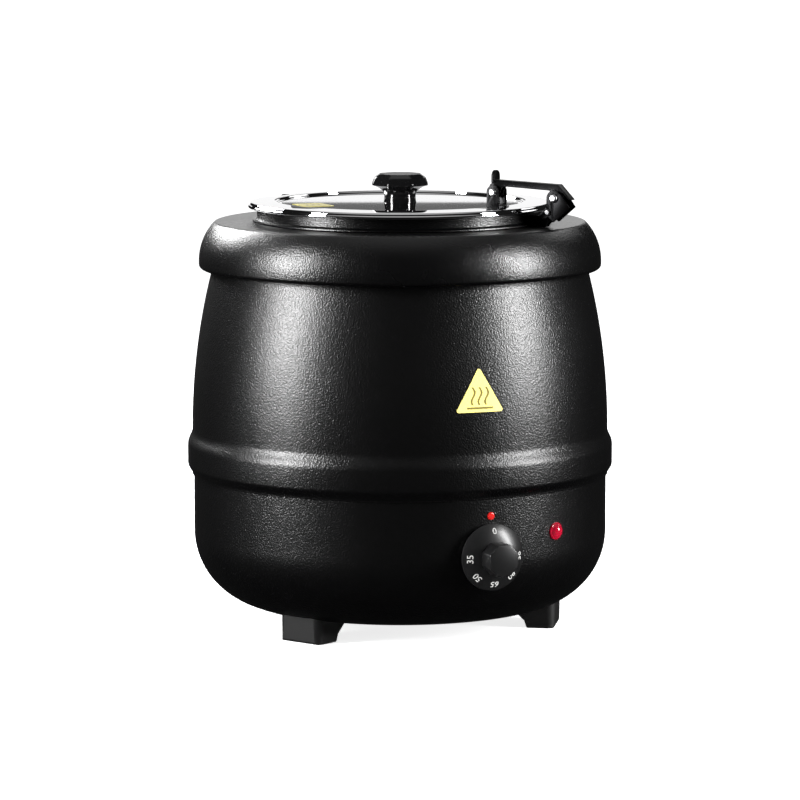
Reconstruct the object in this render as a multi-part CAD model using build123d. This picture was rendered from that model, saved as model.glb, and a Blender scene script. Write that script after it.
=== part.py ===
"""Countertop soup kettle: a water-bath warmer with a lift-out pot and a hinged lid.

Millimetres. The origin is on the ground under the kettle's upright axis, +Z is up and
the thermostat faces -Y. An azimuth is measured from the front (-Y) towards +X.
"""
from build123d import *
from math import asin, cos, degrees, radians, sin, sqrt
import os

os.makedirs("parts", exist_ok=True)

# Driving dimensions of the turned body
SHEET = 1.2                 # body sheet steel
BASE_Z = 16.0               # underside of the lower shell
BODY_R = 165.2              # outside radius of the lower shell
CORNER_R = 60.0             # round corner at the foot of the lower shell
SEAM_Z = 122.0              # lower edge of the upper shell
BEAD_R = 170.1              # swaged bead above the seam
BEAD_LOW_Z = 130.5
BEAD_HIGH_Z = 145.5
BARREL_R = 166.3            # barrel radius just above the bead
BARREL_Z = 158.0
BARREL_ARC = 505.0          # radius of the barrel's side, seen from the side
COLLAR_TOP = 323.5
COLLAR_R = 160.5
COLLAR_SHEET = 1.5
COLLAR_LOW_Z = 286.0
SHOULDER_ARC = 44.9         # large radius of the collar's shoulder
SHOULDER_EDGE = 4.5         # small radius where it meets the flat top
SHOULDER_Z = 292.0
COLLAR_HOLE_R = 108.6

# Pot and water well
POT_R = 107.8
POT_BASE_Z = 72.0
POT_SHEET = 1.0
RIM_R = 110.0
RIM_WIRE = 2.0
WELL_R = 119.0
WELL_BASE_Z = 61.0
WELL_SHEET = 1.0

# Lid ring, lid and knob
GAP = 0.3                   # between bodies that only rest on each other
RING_R = 114.0
RING_SHEET = 1.4
RING_TOP = 338.4
RING_FLANGE_R = 117.5
LID_R = 121.0
LID_PANEL_R = 98.0
LID_PANEL_Z = 338.0
LID_TOP = 339.8
LID_SHEET = 1.0
NOTCH_WIDTH = 28.0
NOTCH_R = 108.0
KNOB_TOP = 361.0
KNOB_R = 22.8

# Lid hinge, in its own plane: distance from the axis, height
HINGE_AZIMUTH = 36.0
PIN_A = (87.0, 349.8)       # lid bracket to arm
PIN_B = (140.0, 346.8)      # arm to link
PIN_C = (135.0, 335.5)      # link to the bracket on the ring
PIN_A_R = 1.8
PIN_B_R = 2.2
PIN_C_R = 1.8
PIN_PLAY = 0.08
ARM_HALF = 4.0              # half widths across the hinge
EAR_IN = 4.4
EAR_OUT = 5.8
LID_EAR_IN = 5.4
LID_EAR_OUT = 6.8
TONGUE_HALF = 5.0
BRACKET_HALF = 4.0
HINGE_SHEET = 1.4

# Controls
DIAL_Z = 77.0
DIAL_BACK = 166.8           # distance of the dial's back face from the axis
DIAL_R = 26.0
DIAL_RIM = 2.2              # upright rim, then a cone up to the grip
DIAL_CONE_R = 14.0
DIAL_CONE_TOP = 8.5
DIAL_DEPTH = 22.5
GRIP_FLATS = 24.5
SHAFT_R = 3.0
DOT_Z = 108.5
DOT_R = 3.25
LAMP_AZIMUTH = 22.0
LAMP_Z = 91.0
LAMP_R = 6.8

# Labels
LABEL_AZIMUTH = -3.2
LABEL_SIDE = 40.0
LABEL_Z = 201.0
LABEL_THICK = 0.25

# Heater and wiring
HEATER_R = 70.0
HEATER_TUBE = 4.0
HEATER_Z = WELL_BASE_Z - HEATER_TUBE
HEATER_GAP = 30.0           # open part of the heater ring, at the rear, in degrees
CLAMP_R = 84.0
STUD_R = 3.0
THERMOSTAT_FACE = 161.9
THERMOSTAT_SCREW_X = 14.0
BULB_Y = -96.0
BULB_R = 3.0
BLOCK_AZIMUTH = 146.0
BLOCK_R = 112.0
GLAND_Z = 84.0
GLAND_BORE = 4.0

# Feet and underside
FOOT_AZIMUTHS = (-63.5, 56.5, 176.5)
FOOT_R = 128.2              # outer face, at the shell
FOOT_WIDTH = 40.0
FOOT_SCREW_R = 117.0
COVER_R = 95.0
OPENING_R = 86.0
COVER_SCREW_R = 90.5
COVER_SCREWS = (-5.0, 85.0, 175.0, 265.0)
BRACKET_RIVET_Z = 330.0
HEM_LOW = 334.1


def to_azimuth(shape, azimuth):
    """Turn a piece modelled along +X to its azimuth."""
    return Rot(0, 0, azimuth - 90) * shape


def section(*edges):
    """A filled section from edges drawn as (radius, height)."""
    return make_face(edges)


def outline(*points):
    return make_face(Polyline(*points, close=True))


def window(r0, z0, r1, z1):
    return Pos((r0 + r1) / 2, (z0 + z1) / 2) * Rectangle(r1 - r0, z1 - z0)


def turn(face):
    """Turn a (radius, height) section about the upright axis."""
    return revolve(Plane.XZ * face, Axis.Z)


def s_curve(start, end):
    """Two equal arcs between two points, upright at both ends."""
    middle = ((start[0] + end[0]) / 2, (start[1] + end[1]) / 2)
    heading = (0, 1 if end[1] > start[1] else -1)
    first = TangentArc(start, middle, tangent=heading)
    second = TangentArc(middle, end, tangent=first % 1)
    return [first, second]


def write(shape, name):
    shape.label = name
    export_step(shape, f"parts/{name}.step")


def group(name, *solids):
    """Write several separate solids as one node."""
    write(Compound(children=list(solids)), name)


def upright(radius, z0, z1, x=0.0, y=0.0):
    return Pos(x, y, (z0 + z1) / 2) * Cylinder(radius, z1 - z0)


def outward(radius, r0, r1, z):
    """A round bar along +X between two distances from the axis."""
    return Pos((r0 + r1) / 2, 0, z) * Rot(0, 90, 0) * Cylinder(radius, r1 - r0)


def across(radius, point, half, side=0.0):
    """A round bar across the hinge at a point of its plane."""
    return Pos(point[0], side, point[1]) * Rot(90, 0, 0) * Cylinder(radius, 2 * half)


def plate(face, y0, y1):
    """A flat plate in the hinge's plane between two distances across it."""
    solid = extrude(Plane.XZ * face, amount=y1 - y0)
    return Pos(0, y1, 0) * solid


def barrel_radius(z):
    """Outside radius of the upper shell above its bead."""
    return BARREL_R - BARREL_ARC + sqrt(BARREL_ARC ** 2 - (z - BARREL_Z) ** 2)


# ---------------------------------------------------------------- outer shells

def lower_section():
    centre = (BODY_R - CORNER_R, BASE_Z + CORNER_R)
    top = SEAM_Z + 28
    return section(
        Line((0, BASE_Z), (centre[0], BASE_Z)),
        CenterArc((*centre, 0), CORNER_R, 270, 90),
        Line((BODY_R, centre[1]), (BODY_R, top)),
        Line((BODY_R, top), (0, top)),
        Line((0, top), (0, BASE_Z)),
    )


def upper_section():
    foot = (BODY_R + SHEET + 0.1, SEAM_Z - SHEET)
    top = COLLAR_TOP + 2
    middle = (BARREL_Z + top) / 2
    return section(
        Line((0, foot[1]), foot),
        *s_curve(foot, (BEAD_R, BEAD_LOW_Z)),
        Line((BEAD_R, BEAD_LOW_Z), (BEAD_R, BEAD_HIGH_Z)),
        *s_curve((BEAD_R, BEAD_HIGH_Z), (BARREL_R, BARREL_Z)),
        ThreePointArc((BARREL_R, BARREL_Z), (barrel_radius(middle), middle), (barrel_radius(top), top)),
        Line((barrel_radius(top), top), (0, top)),
        Line((0, top), (0, foot[1])),
    )


def collar_section():
    big = (COLLAR_R - SHOULDER_ARC, SHOULDER_Z)
    turn_angle = degrees(asin((COLLAR_TOP - SHOULDER_EDGE - SHOULDER_Z) / (SHOULDER_ARC - SHOULDER_EDGE)))
    reach = SHOULDER_ARC - SHOULDER_EDGE
    small = (big[0] + reach * cos(radians(turn_angle)), big[1] + reach * sin(radians(turn_angle)))
    lip = 3.5
    return section(
        Line((0, COLLAR_LOW_Z), (COLLAR_R - lip, COLLAR_LOW_Z)),
        CenterArc((COLLAR_R - lip, COLLAR_LOW_Z + lip, 0), lip, 270, 90),
        Line((COLLAR_R, COLLAR_LOW_Z + lip), (COLLAR_R, SHOULDER_Z)),
        CenterArc((*big, 0), SHOULDER_ARC, 0, turn_angle),
        CenterArc((*small, 0), SHOULDER_EDGE, turn_angle, 90 - turn_angle),
        Line((small[0], COLLAR_TOP), (0, COLLAR_TOP)),
        Line((0, COLLAR_TOP), (0, COLLAR_LOW_Z)),
    )


def skin(face, thickness):
    return face - offset(face, amount=-thickness)


def lower_shell(body):
    wall = skin(lower_section(), SHEET)
    wall = wall - window(-1, 0, OPENING_R, SEAM_Z + 40) - window(-1, SEAM_Z + 26.5, 200, SEAM_Z + 40)
    wall = wall - window(-1, BASE_Z + 20, 150, SEAM_Z + 40)
    shell = turn(wall)
    shell -= to_azimuth(outward(7.5, 150, 180, DIAL_Z), 0)
    shell -= to_azimuth(outward(5.1, 150, 180, LAMP_Z), LAMP_AZIMUTH)
    shell -= to_azimuth(outward(8.2, 150, 180, GLAND_Z), 180)
    for side in (-1, 1):
        shell -= to_azimuth(Pos(0, side * THERMOSTAT_SCREW_X, 0) * outward(2.2, 150, 180, DIAL_Z), 0)
    for azimuth in FOOT_AZIMUTHS:
        shell -= to_azimuth(upright(2.7, 0, 30, FOOT_SCREW_R), azimuth)
    for azimuth in COVER_SCREWS:
        shell -= to_azimuth(upright(2.0, 0, 30, COVER_SCREW_R), azimuth)
    return shell


def upper_shell():
    wall = skin(upper_section(), SHEET)
    wall = wall - window(-1, 0, 200, SEAM_Z) - window(-1, COLLAR_TOP - COLLAR_SHEET - WELL_SHEET, 200, 340)
    wall = wall - window(-1, 0, 120, 340)
    return turn(wall)


def top_collar():
    wall = skin(collar_section(), COLLAR_SHEET)
    wall = wall - window(-1, 280, COLLAR_HOLE_R, 330) - window(-1, 280, 150.4, 310)
    return turn(wall)


# ---------------------------------------------------------- water well and pot

def water_well():
    flange_top = COLLAR_TOP - COLLAR_SHEET
    outer = fillet(window(-WELL_R, WELL_BASE_Z, WELL_R, flange_top).vertices().sort_by(Axis.Y)[:2], 12)
    inner = fillet(
        window(-WELL_R + WELL_SHEET, WELL_BASE_Z + WELL_SHEET, WELL_R - WELL_SHEET, flange_top + 5)
        .vertices().sort_by(Axis.Y)[:2], 11)
    cup = outer - inner
    flange = window(WELL_R - WELL_SHEET, flange_top - WELL_SHEET, 136.5, flange_top)
    return turn((cup & window(0, 0, 200, 400)) + flange)


def soup_pot():
    top = COLLAR_TOP + 2 * RIM_WIRE
    outer = fillet(window(-POT_R, POT_BASE_Z, POT_R, top).vertices().sort_by(Axis.Y)[:2], 15)
    inner = fillet(
        window(-POT_R + POT_SHEET, POT_BASE_Z + POT_SHEET, POT_R - POT_SHEET, top + 5)
        .vertices().sort_by(Axis.Y)[:2], 14)
    wall = (outer - inner) & window(0, 0, 200, 400)
    rim = Pos(RIM_R, COLLAR_TOP + RIM_WIRE) * Circle(RIM_WIRE)
    lip = window(POT_R - POT_SHEET, top - 1.2, RIM_R, top - 0.1)
    return turn(wall + rim + lip)


# ------------------------------------------------------------------ lid assembly

def lid_ring():
    low = COLLAR_TOP + GAP
    inner = RING_R - RING_SHEET
    wall = window(inner, low, RING_R, RING_TOP)
    flange = window(inner, low, RING_FLANGE_R, low + RING_SHEET)
    lip = window(110, RING_TOP - RING_SHEET, RING_R, RING_TOP)
    ring = turn(wall + flange + lip)
    ring = fillet(ring.edges().filter_by(GeomType.CIRCLE).group_by(Axis.Z)[-1].sort_by(SortBy.RADIUS)[-1], 1.0)
    ladle = Pos(RING_R - 2, 0, RING_TOP) * Box(12, NOTCH_WIDTH - 4, 15)
    ring -= to_azimuth(ladle, HINGE_AZIMUTH + 180)
    rivet = outward(PIN_A_R, RING_R - 10, RING_R + 10, BRACKET_RIVET_Z)
    return ring - to_azimuth(rivet, HINGE_AZIMUTH)


def lid():
    rise = 1.6
    edge = LID_R - 1.4
    top = outline(
        (0, LID_PANEL_Z), (LID_PANEL_R, LID_PANEL_Z), (LID_PANEL_R + rise, LID_TOP - 0.2),
        (edge - 1.6, LID_TOP), (edge - 0.4, LID_TOP - 0.5), (edge, LID_TOP - 1.6),
        (edge, LID_TOP - 2.6), (edge - LID_SHEET, LID_TOP - 2.6), (edge - 1.6, LID_TOP - LID_SHEET),
        (LID_PANEL_R + rise + 0.4, LID_TOP - 0.2 - LID_SHEET),
        (LID_PANEL_R + 0.4, LID_PANEL_Z - LID_SHEET), (0, LID_PANEL_Z - LID_SHEET),
    )
    hem = fillet(window(LID_R - 2.6, HEM_LOW, LID_R, LID_TOP - 2.3).vertices(), 1.1)
    disc = turn(top + hem)
    reach = LID_R + 10 - NOTCH_R
    slot = extrude(fillet(Rectangle(reach, NOTCH_WIDTH).vertices().sort_by(Axis.X)[:2], 6), amount=20)
    disc -= to_azimuth(Pos(NOTCH_R + reach / 2, 0, LID_TOP - 12) * slot, HINGE_AZIMUTH + 180)
    disc -= upright(2.2, 330, 345)
    return disc - to_azimuth(upright(1.6, 330, 345, PIN_A[0]), HINGE_AZIMUTH)


def lid_knob():
    stem = 13.5
    base = LID_PANEL_Z
    wide = base + 15.0
    profile = section(
        Line((0, base), (stem, base)),
        Line((stem, base), (stem, base + 4)),
        Spline((stem, base + 4), (stem + 1.6, base + 9), (KNOB_R - 1, wide - 1.6),
               tangents=[(0, 1), (1, 0.25)]),
        ThreePointArc((KNOB_R - 1, wide - 1.6), (KNOB_R, wide), (KNOB_R - 1, wide + 1.6)),
        Line((KNOB_R - 1, wide + 1.6), (16, KNOB_TOP)),
        Line((16, KNOB_TOP), (0, KNOB_TOP)),
        Line((0, KNOB_TOP), (0, base)),
    )
    return turn(profile) - upright(3.6, base - 1, base + 13)


def knob_insert():
    return upright(3.6, LID_PANEL_Z, LID_PANEL_Z + 13) - upright(2.0, LID_PANEL_Z - 1, LID_PANEL_Z + 14)


def lid_knob_screw():
    under = LID_PANEL_Z - LID_SHEET - 1.0
    head = fillet(upright(4.0, under - 2.4, under).edges().sort_by(Axis.Z)[:1], 1.4)
    return head + upright(2.0, under, LID_PANEL_Z + 11)


def lid_knob_washer():
    under = LID_PANEL_Z - LID_SHEET
    return upright(6.0, under - 1.0, under) - upright(2.2, under - 2, under + 1)


# ---------------------------------------------------------------------- hinge

def ear(point, radius, foot_z):
    """A rounded ear standing on a height, centred on a pin."""
    strip = window(point[0] - radius, foot_z, point[0] + radius, point[1])
    return strip + Pos(*point) * Circle(radius)


def lid_bracket():
    side = ear(PIN_A, 5.5, LID_PANEL_Z)
    base = Pos(PIN_A[0], 0, LID_PANEL_Z + HINGE_SHEET / 2) * Box(11, 2 * LID_EAR_OUT, HINGE_SHEET)
    solid = plate(side, LID_EAR_IN, LID_EAR_OUT) + plate(side, -LID_EAR_OUT, -LID_EAR_IN) + base
    solid -= across(PIN_A_R, PIN_A, 10)
    return to_azimuth(solid - upright(1.6, 330, 345, PIN_A[0]), HINGE_AZIMUTH)


def lid_bracket_rivet():
    x = PIN_A[0]
    top = LID_PANEL_Z + HINGE_SHEET
    low = LID_PANEL_Z - LID_SHEET
    head = fillet(upright(3.0, top, top + 1.5, x).edges().sort_by(Axis.Z)[-1:], 1.2)
    tail = fillet(upright(2.8, low - 1.2, low, x).edges().sort_by(Axis.Z)[:1], 0.9)
    return to_azimuth(head + tail + upright(1.6, low, top, x), HINGE_AZIMUTH)


def hinge_arm():
    """A channel open below: web on top, bent up at its inner end and down over pin B."""
    web_in = PIN_A[0] - 0.6
    top_in = 359.4
    bend = (142.7, 357.5)
    hood = (153.9, 346.0)
    side = outline(
        (web_in, top_in), bend, (147.2, 351.6), (142.0, 349.5), (135.0, 352.6), (94.0, 354.4),
        (91.4, PIN_A[1]), (82.6, PIN_A[1]), (82.6, 355.2), (web_in - 1.0, 357.6),
    )
    side = side + Pos(*PIN_A) * Circle(4.6) + Pos(*PIN_B) * Circle(4.6)
    side = side + outline((135.6, 352.8), (135.6, PIN_B[1]), (144.4, PIN_B[1]), (143.6, 351.0))
    web = outline(
        (web_in, top_in), bend, hood, (hood[0] - 1.3, hood[1] - 0.6), (bend[0] - 1.0, bend[1] - 1.4),
        (web_in, top_in - HINGE_SHEET),
    )
    tongue = window(web_in - 1.8, 357.0, web_in + 1.0, 361.9)
    tip = Pos(web_in - 0.4, 0, 361.9) * Rot(0, 90, 0) * Cylinder(TONGUE_HALF, 2.8)
    solid = plate(side, ARM_HALF - HINGE_SHEET, ARM_HALF) + plate(side, -ARM_HALF, HINGE_SHEET - ARM_HALF)
    solid = solid + plate(web, -ARM_HALF, ARM_HALF) + plate(tongue, -TONGUE_HALF, TONGUE_HALF) + tip
    solid -= across(PIN_A_R + PIN_PLAY, PIN_A, 10)
    solid -= across(PIN_B_R + PIN_PLAY, PIN_B, 10)
    return to_azimuth(solid, HINGE_AZIMUTH)


def hinge_link():
    """Two cheeks outside the arm and the ring bracket, joined by a web on the lid's side."""
    cheek = outline((133.7, 346.8), (146.0, 350.6), (153.8, 339.9), (139.2, 327.6), (133.7, 334.0))
    cheek = cheek + Pos(*PIN_B) * Circle(6.3)
    cheek = fillet(cheek.vertices().sort_by(Axis.Y)[:1], 1.2)
    web = window(133.7, 341.2, 134.9, 346.0)
    solid = plate(cheek, EAR_IN, EAR_OUT) + plate(cheek, -EAR_OUT, -EAR_IN) + plate(web, -EAR_OUT, EAR_OUT)
    solid -= across(PIN_B_R, PIN_B, 10)
    solid -= across(PIN_C_R, PIN_C, 10)
    return to_azimuth(solid, HINGE_AZIMUTH)


def hinge_bracket():
    """Formed bracket riveted to the lid ring, with its foot over the collar."""
    low = COLLAR_TOP + GAP
    deck = low + RING_SHEET
    cover = 332.6
    cheek = outline(
        (RING_R, deck), (RING_FLANGE_R + 0.2, deck), (RING_FLANGE_R + 0.2, low), (131.0, low),
        (138.6, 332.8), (138.6, PIN_C[1]), (130.8, 337.2), (126.0, cover), (RING_R, cover),
    )
    cheek = cheek + Pos(*PIN_C) * Circle(4.4)
    foot = window(RING_FLANGE_R + 0.2, low, 131.0, low + HINGE_SHEET)
    front = window(RING_R, deck, RING_R + HINGE_SHEET, cover)
    inside = BRACKET_HALF - HINGE_SHEET
    solid = plate(cheek, inside, BRACKET_HALF) + plate(cheek, -BRACKET_HALF, -inside)
    solid = solid + plate(foot, -BRACKET_HALF, BRACKET_HALF) + plate(front, -BRACKET_HALF, BRACKET_HALF)
    solid -= turn(window(0, 300, RING_R, 400))
    solid -= outward(PIN_A_R, RING_R - 10, RING_R + 10, BRACKET_RIVET_Z)
    solid -= across(PIN_C_R + PIN_PLAY, PIN_C, 10)
    return to_azimuth(solid, HINGE_AZIMUTH)


def hinge_bracket_rivet():
    inner = RING_R - RING_SHEET - 0.03
    outer = RING_R + HINGE_SHEET
    tail = fillet(outward(2.2, inner - 0.8, inner, BRACKET_RIVET_Z).edges().sort_by(Axis.X)[:1], 0.5)
    head = fillet(outward(2.4, outer, outer + 1.0, BRACKET_RIVET_Z).edges().sort_by(Axis.X)[-1:], 0.6)
    shank = outward(PIN_A_R, inner, outer, BRACKET_RIVET_Z)
    return to_azimuth(tail + head + shank, HINGE_AZIMUTH)


def hinge_pin(point, radius, head_r, head_h, half=EAR_OUT):
    """A riveted pin with a domed head outside each cheek."""
    pin = across(radius, point, half)
    for side in (-1, 1):
        head = across(head_r, point, head_h / 2, side * (half + head_h / 2))
        outer = head.edges().sort_by(Axis.Y)[-1 if side > 0 else 0]
        pin += fillet(outer, head_h * 0.8)
    return to_azimuth(pin, HINGE_AZIMUTH)


# ------------------------------------------------------------------- controls

def control_knob():
    """Dial with a conical skirt, hollow behind, and an eight-sided grip."""
    skirt = turn(outline((0, 0), (DIAL_R, 0), (DIAL_R, DIAL_RIM), (DIAL_CONE_R, DIAL_CONE_TOP), (0, DIAL_CONE_TOP)))
    grip = extrude(RegularPolygon(GRIP_FLATS / 2, 8, major_radius=False, rotation=22.5), amount=DIAL_DEPTH)
    grip = chamfer(grip.faces().sort_by(Axis.Z)[-1].edges(), 1.4)
    knob = skirt + grip
    knob -= Cylinder(DIAL_R - 3.5, 3.0, align=(Align.CENTER, Align.CENTER, Align.MIN))
    knob -= Cylinder(SHAFT_R, 16.0, align=(Align.CENTER, Align.CENTER, Align.MIN))
    return Pos(0, -DIAL_BACK, DIAL_Z) * Rot(90, 0, 0) * knob


def thermostat_shaft():
    return to_azimuth(outward(SHAFT_R, THERMOSTAT_FACE - 8, DIAL_BACK + 15.8, DIAL_Z), 0)


def thermostat_body():
    front = THERMOSTAT_FACE
    case = Pos(front - 15.5, 0, DIAL_Z) * Box(27, 30, 29)
    case = fillet(case.edges().filter_by(Axis.X), 2)
    mount = Pos(front - 1, 0, DIAL_Z) * Box(2, 34, 24)
    boss = outward(7.0, front, 163.6, DIAL_Z)
    body = case + mount + boss
    body -= outward(SHAFT_R + 0.05, front - 8, 170, DIAL_Z)
    for side in (-1, 1):
        body -= Pos(0, side * THERMOSTAT_SCREW_X, 0) * outward(2.0, front - 6, front + 1, DIAL_Z)
    for x in (-9, 0, 9):
        body += Pos(front - 33.5, x, DIAL_Z + 6) * Box(9, 6.3, 0.8)
    return to_azimuth(body, 0)


def thermostat_screws():
    screws = []
    for side in (-1, 1):
        seat = sqrt(BODY_R ** 2 - (THERMOSTAT_SCREW_X - 3.6) ** 2) + 0.02
        head = fillet(outward(3.6, seat, seat + 1.7, DIAL_Z).edges().sort_by(Axis.X)[-1:], 1.0)
        screw = head + outward(2.0, THERMOSTAT_FACE - 5, seat, DIAL_Z)
        screws.append(to_azimuth(Pos(0, side * THERMOSTAT_SCREW_X, 0) * screw, 0))
    return screws


def index_dot(body):
    dot = outward(DOT_R, BODY_R - 2, BODY_R + 1.0, DOT_Z)
    dot = fillet(dot.edges().sort_by(Axis.X)[-1:], 0.6)
    return to_azimuth(dot, 0) - body


def lamp_lens():
    rim = outward(LAMP_R, BODY_R + 0.05, BODY_R + 1.6, LAMP_Z)
    dome = Pos(BODY_R - 0.6, 0, LAMP_Z) * Sphere(LAMP_R - 0.7)
    dome &= Pos(BODY_R + 5, 0, LAMP_Z) * Box(7.2, 20, 20)
    stem = outward(4.2, BODY_R - 6, BODY_R + 1.4, LAMP_Z)
    return to_azimuth(rim + dome + stem, LAMP_AZIMUTH)


def lamp_housing():
    tube = outward(5.0, BODY_R - 24, BODY_R, LAMP_Z) - outward(4.2, BODY_R - 6, BODY_R + 1, LAMP_Z)
    clip = outward(8.0, BODY_R - 4.8, BODY_R - SHEET - 0.3, LAMP_Z) - outward(5.0, BODY_R - 9, BODY_R, LAMP_Z)
    tabs = [Pos(BODY_R - 28, y, LAMP_Z) * Box(8, 0.8, 4.8) for y in (-2.4, 2.4)]
    return to_azimuth(tube + clip + tabs[0] + tabs[1], LAMP_AZIMUTH)


def caution_label():
    """Triangular sticker bent round the barrel."""
    half = LABEL_SIDE / 2
    height = LABEL_SIDE * sqrt(3) / 2
    triangle = outline((-half, -height / 3), (half, -height / 3), (0, 2 * height / 3))
    triangle = fillet(triangle.vertices(), 1.5)
    prism = extrude(Plane.YZ * triangle, amount=60)
    low = LABEL_Z - height / 2
    high = LABEL_Z + height
    middle = (low + high) / 2
    layer = section(
        ThreePointArc((barrel_radius(low), low), (barrel_radius(middle), middle), (barrel_radius(high), high)),
        Line((barrel_radius(high), high), (barrel_radius(high) + LABEL_THICK, high)),
        ThreePointArc((barrel_radius(high) + LABEL_THICK, high), (barrel_radius(middle) + LABEL_THICK, middle),
                      (barrel_radius(low) + LABEL_THICK, low)),
        Line((barrel_radius(low) + LABEL_THICK, low), (barrel_radius(low), low)),
    )
    return to_azimuth(Pos(130, 0, LABEL_Z) * prism, LABEL_AZIMUTH) & turn(layer)


def lid_label():
    card = fillet(Rectangle(24, 30).vertices(), 2)
    return Pos(-74, 4, LID_PANEL_Z) * extrude(card, amount=LABEL_THICK)


# ------------------------------------------------------------- heating and wiring

def tube(radius, path):
    """A round bar along a path."""
    start = Plane(origin=path @ 0, z_dir=path % 0)
    return sweep(start * Circle(radius), path=path)


def heating_element():
    half = HEATER_GAP / 2
    ring = CenterArc((0, 0, HEATER_Z), HEATER_R, 90 + half, 360 - HEATER_GAP)
    element = tube(HEATER_TUBE, ring)
    for side in (-1, 1):
        angle = radians(90 + side * half)
        x = HEATER_R * cos(angle)
        y = HEATER_R * sin(angle)
        element += upright(HEATER_TUBE, 44, HEATER_Z, x, y) + Pos(x, y, HEATER_Z) * Sphere(HEATER_TUBE)
        element += upright(1.6, 38, 44, x, y)
    return element


def heater_clamp_plate():
    low = HEATER_Z - HEATER_TUBE - 2
    disc = upright(CLAMP_R, low, low + 2) - upright(STUD_R + 0.3, low - 5, low + 5)
    disc -= Pos(0, CLAMP_R, low) * Box(60, 60, 10)
    for azimuth in range(0, 360, 60):
        disc -= to_azimuth(upright(9, low - 5, low + 5, 42), azimuth)
    return disc


def heater_stud():
    low = HEATER_Z - HEATER_TUBE - 2
    return upright(STUD_R, low - 10, WELL_BASE_Z)


def hexagon(flats, z0, z1, bore):
    nut = extrude(RegularPolygon(flats / 2, 6, major_radius=False), amount=z1 - z0)
    return Pos(0, 0, z0) * nut - upright(bore, z0 - 1, z1 + 1)


def heater_nut():
    low = HEATER_Z - HEATER_TUBE - 2
    return hexagon(10, low - 6.6, low - 1.6, STUD_R)


def heater_washer():
    low = HEATER_Z - HEATER_TUBE - 2
    return upright(9, low - 1.6, low) - upright(STUD_R + 0.2, low - 3, low + 1)


def thermal_cutout():
    body = upright(8.0, WELL_BASE_Z - 9, WELL_BASE_Z - 1.2, 98) + upright(6.5, WELL_BASE_Z - 1.2, WELL_BASE_Z, 98)
    for y in (-4.5, 4.5):
        body += Pos(98, y, WELL_BASE_Z - 12) * Box(6.3, 0.8, 8)
    return to_azimuth(body, 200)


def capillary_tube():
    """Sensing bulb under the well and the thin tube that joins it to the thermostat."""
    z = WELL_BASE_Z - BULB_R
    bulb = Pos(0, BULB_Y, z) * Rot(0, 90, 0) * Cylinder(BULB_R, 60)
    back = -(THERMOSTAT_FACE - 29)
    path = FilletPolyline((8, back, 66), (8, back + 6, 66), (8, back + 6, 50), (38, BULB_Y - 10, 50),
                          (44, BULB_Y, z), (29, BULB_Y, z), radius=2.8)
    return bulb + tube(0.9, path)


def bulb_clips():
    clips = []
    z = WELL_BASE_Z - BULB_R
    for x in (-18, 18):
        strap = Pos(x, BULB_Y, z - 0.6) * Box(7, 8.4, 7.2) - Pos(x, BULB_Y, z) * Rot(0, 90, 0) * Cylinder(BULB_R, 20)
        strap -= Pos(x, BULB_Y, z + 1.5) * Box(20, 2 * BULB_R, 3.01)
        tabs = Pos(x, BULB_Y, WELL_BASE_Z - 0.5) * Box(7, 20, 1) - Pos(x, BULB_Y, z + 1.5) * Box(20, 2 * BULB_R, 3.01)
        clips.append((strap & Pos(x, BULB_Y, z - 0.6) * Box(7, 8.4, 7.2)) + tabs)
    return clips


def terminal_block():
    z0 = BASE_Z + SHEET
    block = Pos(BLOCK_R - 18, 0, z0 + 9) * Box(16, 36, 17.8)
    block = fillet(block.edges().filter_by(Axis.Z), 2)
    for y in (-12, 0, 12):
        block -= Pos(0, y, 0) * upright(2.6, z0 + 8, z0 + 20, BLOCK_R - 18)
        block -= Pos(0, y, 0) * outward(2.2, BLOCK_R - 40, BLOCK_R, z0 + 6)
    return to_azimuth(block, BLOCK_AZIMUTH)


def earth_stud():
    z0 = BASE_Z + SHEET
    x = 100.0
    stud = upright(2.0, z0, z0 + 12, x) + upright(4.0, z0, z0 + 1.2, x)
    nut = Pos(x, 0, 0) * hexagon(7, z0 + 3.0, z0 + 6.2, 1.9)
    tag = upright(4.5, z0 + 1.2, z0 + 2.2, x) + Pos(x - 8, 0, z0 + 1.7) * Box(12, 4, 1.0)
    return to_azimuth(stud + nut + tag, 205)


def wiring():
    """Insulated leads between the terminal block, thermostat, lamp and heater."""
    routes = (
        ((59, 60, 23.2), (84, 20, 30), (84, -60, 40), (30, -122, 62), (9, -122, DIAL_Z + 4)),
        ((-18.1, 67.6, 36.4), (-18.1, 67.6, 30), (-70, 30, 30), (-70, -60, 36), (-9, -121, 62), (-9, -122, DIAL_Z + 4)),
        ((18.1, 67.6, 36.4), (18.1, 67.6, 29), (39, 63, 23.2)),
    )
    return [tube(1.3, FilletPolyline(*route, radius=5)) for route in routes]


def cord_gland():
    """Threaded gland body with its compression cap, bored for the mains cord."""
    body = outward(8.0, BODY_R - 12, BODY_R + 2, GLAND_Z)
    flange = outward(11, BODY_R + 0.1, BODY_R + 3, GLAND_Z)
    cap = outward(9.2, BODY_R + 3, BODY_R + 13, GLAND_Z)
    cap = fillet(cap.edges().sort_by(Axis.X)[-1:], 3)
    gland = body + flange + cap - outward(GLAND_BORE, BODY_R - 20, BODY_R + 20, GLAND_Z)
    return to_azimuth(gland, 180)


def gland_nut():
    nut = hexagon(20, 0, 4.5, 8.0)
    return to_azimuth(Pos(BODY_R - 6.6, 0, GLAND_Z) * Rot(0, 90, 0) * nut, 180)


# ------------------------------------------------------------------ underside

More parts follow.
